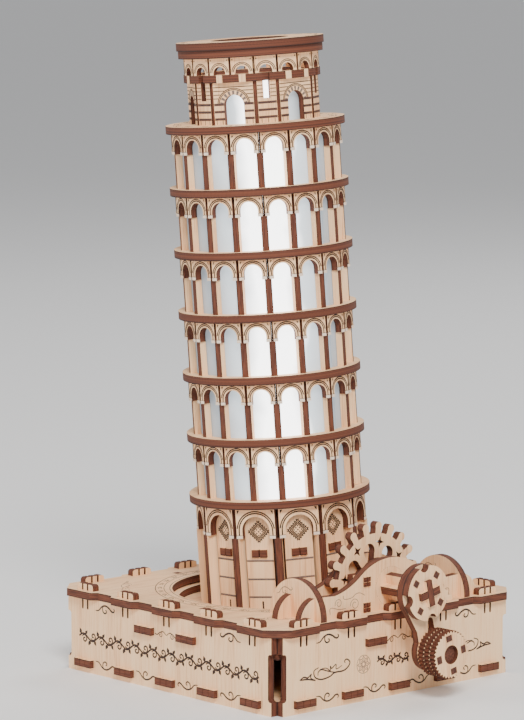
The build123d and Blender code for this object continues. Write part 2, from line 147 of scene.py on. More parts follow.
plywood = {
    "faceLight": (0.98, 0.665, 0.39, 1),
    "faceMiddle": (0.93, 0.58, 0.315, 1),
    "faceDark": (0.77, 0.42, 0.215, 1),
    "edgeLight": (0.165, 0.046, 0.020, 1),
    "edgeDark": (0.075, 0.018, 0.008, 1),
    "burnt": (0.025, 0.008, 0.005, 1),
    "burntWidth": 0.13,  # of the board's thickness, at each face
    "burntStrength": 0.86,
    "glueLine": (0.17, 0.03, 0.35),  # place from the middle, half width, strength
    "faceStops": (0.36, 0.47, 0.62),
    "edgeStops": (0.35, 0.62),
    "grainScale": 1400,
    "grainStretch": 0.035,
    "cloudScale": 110,
    "cloudStretch": 0.12,
    "grainShare": 0.62,
    "toneSpread": 0.10,
    "streakScale": 1100,
    "streakStretch": 0.10,
    "faceRoughness": 0.62,
    "edgeRoughness": 0.78,
    "roughSpread": 0.12,
    "bumpStrength": 0.25,
    "bumpDepth": 0.00012,
}


def calc(tree, operation, first, second=None, third=None):
    node = tree.nodes.new("ShaderNodeMath")
    node.operation = operation
    for socket, value in zip(node.inputs, (first, second, third)):
        if value is None:
            continue
        if isinstance(value, (int, float)):
            socket.default_value = value
        else:
            tree.links.new(value, socket)
    return node.outputs[0]


def mixColour(tree, factor, first, second):
    node = tree.nodes.new("ShaderNodeMix")
    node.data_type = "RGBA"
    for index, value in ((0, factor), (6, first), (7, second)):
        if isinstance(value, (int, float, tuple)):
            node.inputs[index].default_value = value
        else:
            tree.links.new(value, node.inputs[index])
    return node.outputs[2]


def noiseAt(tree, vector, scale, detail=2.0, roughness=0.5, distortion=0.0):
    node = tree.nodes.new("ShaderNodeTexNoise")
    node.inputs["Scale"].default_value = scale
    node.inputs["Detail"].default_value = detail
    node.inputs["Roughness"].default_value = roughness
    node.inputs["Distortion"].default_value = distortion
    tree.links.new(vector, node.inputs["Vector"])
    return node.outputs["Fac"]


def stretched(tree, vector, scale):
    node = tree.nodes.new("ShaderNodeMapping")
    node.inputs["Scale"].default_value = scale
    tree.links.new(vector, node.inputs["Vector"])
    return node.outputs["Vector"]


def ramp(tree, factor, stops):
    node = tree.nodes.new("ShaderNodeValToRGB")
    marks = node.color_ramp.elements
    while len(marks) < len(stops):
        marks.new(0.5)
    for mark, (place, colour) in zip(marks, stops):
        mark.position, mark.color = place, colour
    tree.links.new(factor, node.inputs["Fac"])
    return node.outputs["Color"]


def attribute(tree, name):
    node = tree.nodes.new("ShaderNodeAttribute")
    node.attribute_name = name
    return node


def plywoodMaterial(name="plywood"):
    look = plywood
    material, tree, shader = startMaterial(name, look["faceRoughness"])
    cut = attribute(tree, "cut").outputs["Fac"]
    depth = attribute(tree, "depth").outputs["Fac"]
    tone = attribute(tree, "tone").outputs["Fac"]
    board = attribute(tree, "board").outputs["Vector"]
    # faces: fine grain along the board, with broad soft clouds
    alongGrain = stretched(tree, board, (1.0, look["grainStretch"], 1.0))
    grain = noiseAt(tree, alongGrain, look["grainScale"], 3, 0.6, 0.3)
    cloud = noiseAt(tree, stretched(tree, board, (1.0, look["cloudStretch"], 1.0)), look["cloudScale"], 2)
    share = look["grainShare"]
    fibre = calc(tree, "ADD", calc(tree, "MULTIPLY", grain, share), calc(tree, "MULTIPLY", cloud, 1 - share))
    ownTone = calc(tree, "MULTIPLY", calc(tree, "SUBTRACT", tone, 0.5), look["toneSpread"])
    fibre = calc(tree, "ADD", fibre, ownTone)
    faceTones = (look["faceDark"], look["faceMiddle"], look["faceLight"])
    face = ramp(tree, fibre, list(zip(look["faceStops"], faceTones)))
    # cut edges: burnt at both faces, with a darker glue line between the layers
    alongEdge = stretched(tree, board, (look["streakStretch"], 1.0, 1.0))
    streak = noiseAt(tree, alongEdge, look["streakScale"], 3, 0.6)
    edge = ramp(tree, streak, list(zip(look["edgeStops"], (look["edgeDark"], look["edgeLight"]))))
    fromMiddle = calc(tree, "ABSOLUTE", calc(tree, "SUBTRACT", depth, 0.5))
    place, halfWidth, strength = look["glueLine"]
    offLine = calc(tree, "ABSOLUTE", calc(tree, "SUBTRACT", fromMiddle, place))
    layer = calc(tree, "LESS_THAN", offLine, halfWidth)
    edge = mixColour(tree, calc(tree, "MULTIPLY", layer, strength), edge, look["burnt"])
    rim = calc(tree, "GREATER_THAN", fromMiddle, 0.5 - look["burntWidth"])
    edge = mixColour(tree, calc(tree, "MULTIPLY", rim, look["burntStrength"]), edge, look["burnt"])
    tree.links.new(mixColour(tree, cut, face, edge), shader.inputs["Base Color"])
    spread = look["roughSpread"]
    rough = calc(tree, "MULTIPLY_ADD", grain, spread, look["faceRoughness"] - spread / 2)
    extra = calc(tree, "MULTIPLY", cut, look["edgeRoughness"] - look["faceRoughness"])
    tree.links.new(calc(tree, "ADD", extra, rough), shader.inputs["Roughness"])
    bump = tree.nodes.new("ShaderNodeBump")
    bump.inputs["Strength"].default_value = look["bumpStrength"]
    bump.inputs["Distance"].default_value = look["bumpDepth"]
    tree.links.new(grain, bump.inputs["Height"])
    tree.links.new(bump.outputs["Normal"], shader.inputs["Normal"])
    return material


# Every burnt or stained finish is a mottle between a dark and a light tone.
burns = {"roughness": 0.85, "scale": 900, "stops": (0.35, 0.7)}


def burntMaterial(name, dark, light):
    material, tree, shader = startMaterial(name, burns["roughness"])
    place = tree.nodes.new("ShaderNodeTexCoord").outputs["Object"]
    char = noiseAt(tree, place, burns["scale"], 3, 0.6)
    tree.links.new(ramp(tree, char, list(zip(burns["stops"], (dark, light)))), shader.inputs["Base Color"])
    return material


# The diffuser is the lamp's glowing sheet. On top of that glow is a painted hot spot: the side that faces
# the camera is brightest, and the far side is painted nearly dark.
glowWithPaintedHotSpot = {
    "hotSpotAngle": -38.0,
    "sheet": (0.34, 0.375, 0.405, 1),
    "dim": (0.042, 0.049, 0.055, 1),
    "half": (0.21, 0.235, 0.25, 1),
    "paintedHotSpot": (1.0, 1.0, 1.0, 1),
    "power": 5.0,
    "stops": (0.07, 0.14, 0.27),  # ends of bright, half and dim, as shares of half a turn
    "roughness": 0.45,
    "cloudScale": 38,
    "cloudSpread": 0.35,
}


def diffuserMaterial():
    material, tree, shader = startMaterial("frostedDiffuser", glowWithPaintedHotSpot["roughness"])
    shader.inputs["Base Color"].default_value = glowWithPaintedHotSpot["sheet"]
    place = tree.nodes.new("ShaderNodeTexCoord").outputs["Object"]
    upright = tree.nodes.new("ShaderNodeMapping")
    upright.vector_type = "TEXTURE"
    upright.inputs["Location"].default_value = towerFoot
    upright.inputs["Rotation"].default_value = towerFrame.to_euler()
    tree.links.new(place, upright.inputs["Vector"])
    parts = tree.nodes.new("ShaderNodeSeparateXYZ")
    tree.links.new(upright.outputs["Vector"], parts.inputs["Vector"])
    # Painted hot spot: the emission is brightest on the camera's side and falls off with the angle away from
    # it.
    angle = calc(tree, "ARCTAN2", parts.outputs["Y"], parts.outputs["X"])
    awayFromHotSpot = calc(tree, "ABSOLUTE", calc(tree, "SUBTRACT", angle, math.radians(glowWithPaintedHotSpot["hotSpotAngle"])))
    awayFromHotSpot = calc(tree, "MINIMUM", awayFromHotSpot, calc(tree, "SUBTRACT", 2 * math.pi, awayFromHotSpot))
    cloud = noiseAt(tree, place, glowWithPaintedHotSpot["cloudScale"], 2)
    drift = calc(tree, "MULTIPLY", calc(tree, "SUBTRACT", cloud, 0.5), glowWithPaintedHotSpot["cloudSpread"])
    awayFromHotSpot = calc(tree, "ADD", awayFromHotSpot, drift)
    tones = (glowWithPaintedHotSpot["paintedHotSpot"], glowWithPaintedHotSpot["paintedHotSpot"], glowWithPaintedHotSpot["half"], glowWithPaintedHotSpot["dim"], glowWithPaintedHotSpot["dim"])
    stops = zip((0.0, *glowWithPaintedHotSpot["stops"], 1.0), tones)
    light = ramp(tree, calc(tree, "DIVIDE", awayFromHotSpot, math.pi), list(stops))
    tree.links.new(light, shader.inputs["Emission Color"])
    shader.inputs["Emission Strength"].default_value = glowWithPaintedHotSpot["power"]
    return material


finishes = {
    "engraving": ((0.018, 0.009, 0.007, 1), (0.06, 0.028, 0.018, 1)),
    "shallowEngraving": ((0.16, 0.10, 0.07, 1), (0.25, 0.16, 0.115, 1)),
    "shadedStripe": ((0.13, 0.098, 0.088, 1), (0.21, 0.16, 0.14, 1)),
    "darkBand": ((0.055, 0.028, 0.024, 1), (0.11, 0.06, 0.05, 1)),
    "darkKey": ((0.055, 0.018, 0.011, 1), (0.13, 0.042, 0.025, 1)),
    "dowelEnd": ((0.07, 0.024, 0.014, 1), (0.19, 0.062, 0.035, 1)),
    "paleWood": ((0.80, 0.62, 0.48, 1), (0.90, 0.75, 0.60, 1)),
}
wood = plywoodMaterial()
engraved, faintEngraving, stripe, darkBand, darkKey, dowel, paleWood = (
    burntMaterial(name, dark, light) for name, (dark, light) in finishes.items())
diffuser = diffuserMaterial()


def addObject(name, mesh, body, slot, *nodes):
    piece = bpy.data.objects.new(name, mesh)
    bpy.context.scene.collection.objects.link(piece)
    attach(piece, body)
    if nodes:
        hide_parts(*nodes)


def looseParts(bm):
    seen = set()
    for first in bm.faces:
        if first.index in seen:
            continue
        seen.add(first.index)
        part, queue = [], [first]
        while queue:
            face = queue.pop()
            part.append(face)
            for edge in face.edges:
                for other in edge.link_faces:
                    if other.index not in seen:
                        seen.add(other.index)
                        queue.append(other)
        yield part


def sheetNormal(part):
    areas = {}
    for face in part:
        n = face.normal
        if (round(n.x, 2), round(n.y, 2), round(n.z, 2)) < (0, 0, 0):
            n = -n
        key = (round(n.x, 2), round(n.y, 2), round(n.z, 2))
        areas[key] = areas.get(key, 0) + face.calc_area()
    return Vector(max(areas, key=areas.get)).normalized()


def partCentre(part):
    low = Vector(min(v.co[i] for f in part for v in f.verts) for i in range(3))
    high = Vector(max(v.co[i] for f in part for v in f.verts) for i in range(3))
    return (low + high) / 2


def fromTowerAxis(point):
    arm = point - towerFoot
    return (arm - towerAxis * arm.dot(towerAxis)).normalized()


def acrossTower(part):
    return towerAxis.cross(fromTowerAxis(partCentre(part)))


def acrossCrank(part):
    return xAxis.cross(partCentre(part) - crankCentre).normalized()


def markBoards(bm, findNormal, rng):
    cutLayer = bm.loops.layers.float.new("cut")
    depthLayer = bm.loops.layers.float.new("depth")
    toneLayer = bm.loops.layers.float.new("tone")
    boardLayer = bm.loops.layers.float_vector.new("board")
    bm.faces.index_update()
    for part in list(looseParts(bm)):
        normal = findNormal(part)
        upright = yAxis if abs(normal.z) > 0.8 else zAxis
        grain = (upright - normal * upright.dot(normal)).normalized()
        side = normal.cross(grain)
        heights = [v.co.dot(normal) for f in part for v in f.verts]
        low, span = min(heights), max(heights) - min(heights)
        tone, shift = rng.random(), rng.random()
        for face in part:
            isCut = abs(face.normal.dot(normal)) < 0.6
            along = face.normal.cross(normal).normalized() if isCut else side
            for loop in face.loops:
                point = loop.vert.co
                loop[cutLayer] = float(isCut)
                loop[depthLayer] = (point.dot(normal) - low) / span
                loop[toneLayer] = tone
                up = point.dot(normal if isCut else grain)
                loop[boardLayer] = (point.dot(along), up, shift)


cleaning = {"mergeDistance": 1e-6, "flatAngle": 0.6}


def cleanCopy(node):
    bm = bmesh.new()
    bm.from_mesh(frame["nodes"][node].data)
    bmesh.ops.remove_doubles(bm, verts=bm.verts, dist=cleaning["mergeDistance"])
    flat = math.radians(cleaning["flatAngle"])
    bmesh.ops.dissolve_limit(bm, angle_limit=flat, verts=bm.verts, edges=bm.edges)
    return bm


def addSolid(bm, name, node, material, slot):
    mesh = bpy.data.meshes.new(name)
    bm.to_mesh(mesh)
    bm.free()
    mesh.materials.append(material)
    addObject(name, mesh, bodyOf[node], slot, node)


def makeBoard(node, findNormal=sheetNormal, material=None, slot="plywood"):
    bm = cleanCopy(node)
    markBoards(bm, findNormal, random.Random(node))
    addSolid(bm, node + "_board", node, material or wood, slot)


def makeBoards():
    keyFinish = {"crank_keys": darkKey, "knob_keys": darkKey, "crank_pin": dowel}
    special = {"gallery_posts": acrossTower, "ground_fins": acrossTower, "crank_keys": acrossCrank,
               "knob_keys": acrossCrank, "support_ties": acrossCrank}
    for node in sorted(frame["nodes"]):
        if node == "diffuser_tubes":
            makeBoard(node, material=diffuser, slot="diffuser")
        elif node != "lamp_post":
            makeBoard(node, special.get(node, sheetNormal), keyFinish.get(node))
    print("boards made")


# Engraved marks are drawn in millimetres on a board's face, as u across, v up and h out of the face.
# A stroke is either a line of some width or a filled patch, and each becomes a thin closed slab.
engraving = {"proud": 0.03, "sunk": 0.15, "stagger": 0.001, "lineWidth": 0.45, "arcSteps": 16,
             "curveSteps": 6}


def pen(points, width=None, taper=0.0, closed=False):
    width = width or engraving["lineWidth"]
    last = max(len(points) - 1, 1)
    swell = [abs(math.sin(math.pi * i / last)) ** 0.6 for i in range(len(points))]
    widths = [width * (1 - taper + taper * share) for share in swell]
    return {"line": [Vector(p) for p in points], "widths": widths, "closed": closed}


def patch(points):
    return {"patch": [Vector(p) for p in points]}


def block(u, v, width, height):
    w, h = width / 2, height / 2
    return patch([(u - w, v - h), (u + w, v - h), (u + w, v + h), (u - w, v + h)])


def diamond(u, v, reach):
    return patch([(u - reach, v), (u, v - reach), (u + reach, v), (u, v + reach)])


def arc(radius, u=0.0, v=0.0, start=0.0, end=180.0, steps=None):
    steps = steps or engraving["arcSteps"]
    turns = [math.radians(start + (end - start) * i / steps) for i in range(steps + 1)]
    return [(u + radius * math.cos(turn), v + radius * math.sin(turn)) for turn in turns]


def spiral(u, v, outer, inner, start, turns):
    steps = max(8, int(abs(turns) * 20))
    points = []
    for i in range(steps + 1):
        share = i / steps
        turn = math.radians(start) + share * turns * 2 * math.pi
        radius = outer + (inner - outer) * share
        points.append((u + radius * math.cos(turn), v + radius * math.sin(turn)))
    return points


def softLine(*knots):
    points = [Vector(k) for k in knots]
    points = [2 * points[0] - points[1]] + points + [2 * points[-1] - points[-2]]
    line = []
    for a, b, c, d in zip(points, points[1:], points[2:], points[3:]):
        for step in range(engraving["curveSteps"]):
            t = step / engraving["curveSteps"]
            line.append(0.5 * (2 * b + (c - a) * t + (2 * a - 5 * b + 4 * c - d) * t * t
                               + (3 * b - a - 3 * c + d) * t ** 3))
    return line + [points[-2]]


def moved(strokes, u=0.0, v=0.0, turn=0.0, size=1.0, mirror=False, flip=False):
    spin = Matrix.Rotation(math.radians(turn), 2)
    scale = Vector((-size if mirror else size, -size if flip else size))
    result = []
    for stroke in strokes:
        copy = dict(stroke)
        key = "line" if "line" in stroke else "patch"
        copy[key] = [spin @ Vector((p.x * scale.x, p.y * scale.y)) + Vector((u, v)) for p in stroke[key]]
        result.append(copy)
    return result


def addSlab(verts, faces, rings, closed):
    start = len(verts)
    verts.extend(corner for ring in rings for corner in ring)
    size, count = 4, len(rings)
    for i in range(count if closed else count - 1):
        here, there = start + i * size, start + (i + 1) % count * size
        for k in range(size):
            n = (k + 1) % size
            faces.append((here + k, here + n, there + n, there + k))
    if not closed:
        end = start + (count - 1) * size
        faces.append((start, start + 3, start + 2, start + 1))
        faces.append((end, end + 1, end + 2, end + 3))


def drawLine(verts, faces, stroke, top, bottom):
    line, count = stroke["line"], len(stroke["line"])
    rings = []
    for i, point in enumerate(line):
        if stroke["closed"]:
            ahead, behind = line[(i + 1) % count], line[i - 1]
        else:
            ahead, behind = line[min(i + 1, count - 1)], line[max(i - 1, 0)]
        way = (ahead - behind).normalized()
        side = Vector((-way.y, way.x)) * stroke["widths"][i] / 2
        left, right = point + side, point - side
        rings.append([(left.x, left.y, top), (right.x, right.y, top),
                      (right.x, right.y, bottom), (left.x, left.y, bottom)])
    addSlab(verts, faces, rings, stroke["closed"])


def drawPatch(verts, faces, points, top, bottom):
    area = sum(a.x * b.y - b.x * a.y for a, b in zip(points, points[1:] + points[:1]))
    points = points if area > 0 else points[::-1]
    start, count = len(verts), len(points)
    verts.extend((p.x, p.y, top) for p in points)
    verts.extend((p.x, p.y, bottom) for p in points)
    faces.append(tuple(range(start, start + count)))
    faces.append(tuple(range(start + 2 * count - 1, start + count - 1, -1)))
    for i in range(count):
        n = (i + 1) % count
        faces.append((start + i, start + count + i, start + count + n, start + n))


def markMesh(name, strokes, place, proud=None):
    proud = engraving["proud"] if proud is None else proud
    sunk = engraving["sunk"]
    verts, faces = [], []
    for index, stroke in enumerate(strokes):
        top = proud + engraving["stagger"] * (index % 7)  # crossing strokes keep clear of each other
        if "line" in stroke:
            drawLine(verts, faces, stroke, top, -sunk)
        else:
            drawPatch(verts, faces, stroke["patch"], top, -sunk)
    mesh = bpy.data.meshes.new(name)
    mesh.from_pydata([place @ (Vector(v) * mm) for v in verts], [], faces)
    return mesh


def facePlace(origin, across, up):
    out = across.cross(up)
    place = Matrix((across, up, out)).transposed().to_4x4()
    place.translation = origin
    return place


def addMarks(name, strokes, place, body, material):
    mesh = markMesh(name, strokes, place)
    mesh.materials.append(material)
    addObject(name, mesh, body, "plywood")


def addSocket(tree, name, kind, value=None):
    socket = tree.interface.new_socket(name=name, in_out="INPUT", socket_type=kind)
    if value is not None:
        socket.default_value = value
    return socket.identifier


def endTree(tree, repeat, material):
    realize = tree.nodes.new("GeometryNodeRealizeInstances")
    tree.links.new(repeat.outputs[0], realize.inputs[0])
    finish = tree.nodes.new("GeometryNodeSetMaterial")
    tree.links.new(realize.outputs[0], finish.inputs["Geometry"])
    tree.links.new(material, finish.inputs["Material"])
    out = tree.nodes.new("NodeGroupOutput")
    tree.links.new(finish.outputs[0], out.inputs[0])


def makeAroundTree():
    tree = bpy.data.node_groups.new("aroundAxis", "GeometryNodeTree")
    names = {"motif": addSocket(tree, "Motif", "NodeSocketGeometry")}
    names["count"] = addSocket(tree, "Count", "NodeSocketInt", 12)
    names["start"] = addSocket(tree, "Start Angle", "NodeSocketFloat", 0.0)
    names["step"] = addSocket(tree, "Angle Step", "NodeSocketFloat", math.pi / 6)
    names["levels"] = addSocket(tree, "Levels", "NodeSocketInt", 1)
    names["rise"] = addSocket(tree, "Level Height", "NodeSocketFloat", 0.0)
    names["material"] = addSocket(tree, "Finish", "NodeSocketMaterial")
    tree.interface.new_socket(name="Geometry", in_out="OUTPUT", socket_type="NodeSocketGeometry")
    given = tree.nodes.new("NodeGroupInput").outputs
    index = tree.nodes.new("GeometryNodeInputIndex").outputs[0]
    level = calc(tree, "FLOOR", calc(tree, "DIVIDE", calc(tree, "ADD", index, 0.5), given["Count"]))
    turn = calc(tree, "MULTIPLY", calc(tree, "MODULO", index, given["Count"]), given["Angle Step"])
    turn = calc(tree, "ADD", turn, given["Start Angle"])
    height = tree.nodes.new("ShaderNodeCombineXYZ")
    tree.links.new(calc(tree, "MULTIPLY", level, given["Level Height"]), height.inputs["Z"])
    spin = tree.nodes.new("ShaderNodeCombineXYZ")
    tree.links.new(turn, spin.inputs["Z"])
    rotation = tree.nodes.new("FunctionNodeEulerToRotation")
    tree.links.new(spin.outputs[0], rotation.inputs[0])
    points = tree.nodes.new("GeometryNodePoints")
    tree.links.new(calc(tree, "MULTIPLY", given["Count"], given["Levels"]), points.inputs["Count"])
    tree.links.new(height.outputs[0], points.inputs["Position"])
    repeat = tree.nodes.new("GeometryNodeInstanceOnPoints")
    tree.links.new(points.outputs[0], repeat.inputs["Points"])
    tree.links.new(given["Motif"], repeat.inputs["Instance"])
    tree.links.new(rotation.outputs[0], repeat.inputs["Rotation"])
    endTree(tree, repeat, given["Finish"])
    return tree, names


def makeRowTree():
    tree = bpy.data.node_groups.new("alongRow", "GeometryNodeTree")
    names = {"motif": addSocket(tree, "Motif", "NodeSocketGeometry")}
    names["count"] = addSocket(tree, "Count", "NodeSocketInt", 4)
    names["step"] = addSocket(tree, "Step", "NodeSocketVector")
    names["material"] = addSocket(tree, "Finish", "NodeSocketMaterial")
    tree.interface.new_socket(name="Geometry", in_out="OUTPUT", socket_type="NodeSocketGeometry")
    given = tree.nodes.new("NodeGroupInput").outputs
    row = tree.nodes.new("GeometryNodeMeshLine")
    tree.links.new(given["Count"], row.inputs["Count"])
    tree.links.new(given["Step"], row.inputs["Offset"])
    repeat = tree.nodes.new("GeometryNodeInstanceOnPoints")
    tree.links.new(row.outputs[0], repeat.inputs["Points"])
    tree.links.new(given["Motif"], repeat.inputs["Instance"])
    endTree(tree, repeat, given["Finish"])
    return tree, names


aroundTree, aroundNames = makeAroundTree()
rowTree, rowNames = makeRowTree()


def repeatMesh(name, mesh, tree, names, values, material, place, body):
    source = bpy.data.objects.new(name + "_source", mesh)
    bpy.context.scene.collection.objects.link(source)
    modifier = source.modifiers.new("repeat", "NODES")
    modifier.node_group = tree
    for key, value in values.items():
        modifier[names[key]] = value
    modifier[names["material"]] = material
    source.update_tag()
    solved = source.evaluated_get(bpy.context.evaluated_depsgraph_get())
    finished = bpy.data.meshes.new_from_object(solved)
    bpy.data.objects.remove(source)
    finished.transform(place)
    addObject(name, finished, body, "plywood")


def aroundTower(name, strokes, radius, height, material, count, start=0.0, levels=1, rise=0.0, proud=None):
    place = facePlace(Vector((radius * mm, 0, height * mm)), yAxis, zAxis)
    mesh = markMesh(name, strokes, place, proud)
    values = {"count": count, "start": math.radians(start), "step": math.radians(360 / count),
              "levels": levels, "rise": rise * mm}
    repeatMesh(name, mesh, aroundTree, aroundNames, values, material, towerFrame, "turntable")


def aroundLevel(name, strokes, radius, height, material, count, start=0.0, step=None, place=None,
                body="turntable"):
    flatPlace = facePlace(Vector((radius * mm, 0, height * mm)), yAxis, -xAxis)
    mesh = markMesh(name, strokes, flatPlace)
    values = {"count": count, "start": math.radians(start), "step": math.radians(step or 360 / count)}
    repeatMesh(name, mesh, aroundTree, aroundNames, values, material, place or towerFrame, body)


gallery = {"bays": 18, "levels": 6, "rise": 31.9, "plateFoot": 68.5, "front": 43.6, "halfWidth": 6.93,
           "height": 10.3, "opening": 4.7, "springing": 3.0, "arcs": (5.75, 6.6), "line": 0.58}
ground = {"bays": 12, "plateFoot": 31.4, "front": 43.0, "halfWidth": 10.4, "height": 15.5, "opening": 7.3,
          "springing": 4.1, "arcs": (9.0, 10.0), "line": 0.68}


archMarks = {"arcFoot": 1.7, "outerFrom": 6, "outerTo": 174, "impost": 1.62, "impostLine": 0.22,
             "cornerInset": 0.75, "cornerDrop": 0.8, "cornerHeight": 0.2, "cornerWidth": 0.13,
             "borderInset": 0.35, "borderDrop": 0.4, "borderReach": 0.42, "borderLine": 0.12,
             "capitalMiddle": 0.78, "capitalHeight": 1.45, "capitalProud": 0.3}


def archStrokes(sizes):
    inner, outer = sizes["arcs"]
    line, springing, edge = sizes["line"], sizes["springing"], sizes["halfWidth"]
    foot, impost = archMarks["arcFoot"], archMarks["impost"]
    strokes = [pen([(inner, foot)] + arc(inner, 0, springing) + [(-inner, foot)], line),
               pen(arc(outer, 0, springing, archMarks["outerFrom"], archMarks["outerTo"]), line)]
    top = sizes["height"] - archMarks["cornerDrop"]
    border = sizes["height"] - archMarks["borderDrop"]
    for side in (-1, 1):
        reach = side * edge, side * sizes["opening"]
        strokes.append(pen([(u, impost) for u in reach], archMarks["impostLine"]))
        corner = side * (edge - archMarks["cornerInset"])
        inside = corner - side * edge * archMarks["cornerWidth"]
        below = top - edge * archMarks["cornerHeight"]
        strokes.append(patch([(corner, top), (corner, below), (inside, top)]))
        ends = corner + side * archMarks["borderInset"], side * edge * archMarks["borderReach"]
        strokes.append(pen([(u, border) for u in ends], archMarks["borderLine"]))
    return strokes


def capitalStrokes(sizes):
    middle = (sizes["halfWidth"] + sizes["opening"]) / 2
    width = sizes["halfWidth"] - sizes["opening"] + 0.1
    height = archMarks["capitalHeight"]
    return [block(side * middle, archMarks["capitalMiddle"], width, height) for side in (-1, 1)]


def makeArcades():
    for name, sizes, start in (("gallery", gallery, 10), ("ground", ground, 0)):
        levels, rise = sizes.get("levels", 1), sizes.get("rise", 0.0)
        aroundTower(name + "_arch_lines", archStrokes(sizes), sizes["front"], sizes["plateFoot"], engraved,
                    sizes["bays"], start, levels=levels, rise=rise)
        aroundTower(name + "_capitals", capitalStrokes(sizes), sizes["front"], sizes["plateFoot"], paleWood,
                    sizes["bays"], start, levels=levels, rise=rise, proud=archMarks["capitalProud"])
    print("arcades engraved")


panelMarks = {"bays": 12, "front": 39.0, "diamondHeight": 34.3,
              "squares": ((5.1, 0.56), (4.1, 0.56), (3.2, 0.5)),  # reach and line width
              "combReach": 5.75, "combTeeth": 6, "dotPitch": 1.0, "dotSize": 0.5,
              "bandHeights": (19.2, 9.6, 0.3), "bandHalf": 7.2, "bandWidth": 0.8,
              "lineDrop": 0.45, "lineWidth": 0.2, "slot": (0, -4.2, 0.9, 4.4)}


def diamondStrokes():
    v = panelMarks["diamondHeight"]
    strokes, pitch, dot = [], panelMarks["dotPitch"], panelMarks["dotSize"]
    for reach, width in panelMarks["squares"]:
        corners = [Vector((reach, v)), Vector((0, v + reach)), Vector((-reach, v)), Vector((0, v - reach))]
        for a, b in zip(corners, corners[1:] + corners[:1]):
            strokes.append(pen([a, b], width))
    for i in (-1, 0, 1):
        for k in (-1, 0, 1):
            strokes.append(diamond((i + k) * pitch, v + (i - k) * pitch, dot))
    teeth, reach = panelMarks["combTeeth"], panelMarks["combReach"]
    for quarter in range(4):
        turn = Matrix.Rotation(quarter * math.pi / 2, 2)
        for i in range(teeth):
            share = (i + 0.5) / teeth
            at = turn @ Vector((reach * share, reach * (1 - share)))
            strokes.append(diamond(at.x, v + at.y, dot))
    return strokes


def makeGroundPanels():
    front, half = panelMarks["front"], panelMarks["bandHalf"]
    aroundTower("panel_diamonds", diamondStrokes(), front, 0, engraved, panelMarks["bays"])
    bands, edges = [], [block(*panelMarks["slot"])]
    for v in panelMarks["bandHeights"]:
        bands.append(block(0, v, 2 * half, panelMarks["bandWidth"]))
        line = v - panelMarks["lineDrop"]
        edges.append(pen([(-half, line), (half, line)], panelMarks["lineWidth"]))
    aroundTower("panel_bands", bands, front, 0, stripe, panelMarks["bays"])
    aroundTower("panel_lines", edges, front, 0, engraved, panelMarks["bays"])
    print("ground storey engraved")


belfry = {"foot": 242.3, "wideFront": 32.14, "wideHalf": 10.55, "narrowFront": 33.68, "narrowHalf": 4.8,
          "bandHeights": (3.0, 6.7, 10.4), "bandWidth": 1.25, "lineHeights": (13.4, 15.3, 17.2, 19.1),
          "windowHalf": 5.3, "springing": 9.8, "voussoirOut": 7.4, "arcs": (7.9, 8.6), "slitHalf": 1.7,
          "stones": 9, "stoneTurn": 20, "stoneHalf": 5, "lineWidth": 0.42, "arcWidth": 0.45,
          "ticks": (0.3, 2.3), "tickWidth": 0.3, "wideTicks": (-9.6, -6.4, 6.4, 9.6),
          "narrowTicks": (-3.4, 0, 3.4)}
smallArches = {"foot": 267.7, "front": 34.57, "bays": 18, "start": 10, "arcs": (4.35, 5.1), "springing": 0.8,
               "from": 4, "to": 176, "dot": (4.7, 7.4), "size": 0.42}


def sideRuns(half, gap):
    return ((-half, -gap), (gap, half)) if gap else ((-half, half),)


def tickStrokes(places):
    low, high = belfry["ticks"]
    return [pen([(u, low), (u, high)], belfry["tickWidth"]) for u in places]


def makeBelfry():
    wideBands, wideLines, stones = [], [], []
    outer = belfry["arcs"][1] + 0.3
    for v in belfry["bandHeights"]:
        for a, b in sideRuns(belfry["wideHalf"], belfry["windowHalf"]):
            wideBands.append(block((a + b) / 2, v, b - a, belfry["bandWidth"]))
    for v in belfry["lineHeights"]:
        rise = v - belfry["springing"]
        gap = math.sqrt(outer ** 2 - rise ** 2) if rise < outer else 0
        for a, b in sideRuns(belfry["wideHalf"], gap):
            wideLines.append(pen([(a, v), (b, v)], belfry["lineWidth"]))
    for radius in belfry["arcs"]:
        wideLines.append(pen(arc(radius, 0, belfry["springing"]), belfry["arcWidth"]))
    for i in range(belfry["stones"]):
        turn, half = belfry["stoneTurn"] * (i + 0.5), belfry["stoneHalf"]
        edges = arc(belfry["windowHalf"] + 0.1, 0, belfry["springing"], turn - half, turn + half, 2)
        edges += arc(belfry["voussoirOut"], 0, belfry["springing"], turn + half, turn - half, 2)
        stones.append(patch(edges))
    wideLines += tickStrokes(belfry["wideTicks"])
    narrowBands = [block(0, v, 2 * belfry["narrowHalf"], belfry["bandWidth"]) for v in belfry["bandHeights"]]
    narrowLines = tickStrokes(belfry["narrowTicks"])
    for v in belfry["lineHeights"]:
        for a, b in sideRuns(belfry["narrowHalf"], belfry["slitHalf"] + 0.2):
            narrowLines.append(pen([(a, v), (b, v)], belfry["lineWidth"]))
    foot = belfry["foot"]
    aroundTower("belfry_wide_bands", wideBands, belfry["wideFront"], foot, darkBand, 6)
    aroundTower("belfry_wide_lines", wideLines, belfry["wideFront"], foot, engraved, 6)
    aroundTower("belfry_window_stones", stones, belfry["wideFront"], foot, stripe, 6)
    aroundTower("belfry_narrow_bands", narrowBands, belfry["narrowFront"], foot, darkBand, 6, 30)
    aroundTower("belfry_narrow_lines", narrowLines, belfry["narrowFront"], foot, engraved, 6, 30)
    small, (u, v) = smallArches, smallArches["dot"]
    smallArcs = [pen(arc(radius, 0, small["springing"], small["from"], small["to"]), small["size"])
                 for radius in small["arcs"]]
    smallArcs += [diamond(side * u, v, small["size"]) for side in (-1, 1)]
    aroundTower("belfry_arch_lines", smallArcs, small["front"], small["foot"], engraved, small["bays"],
                small["start"])
    print("belfry engraved")


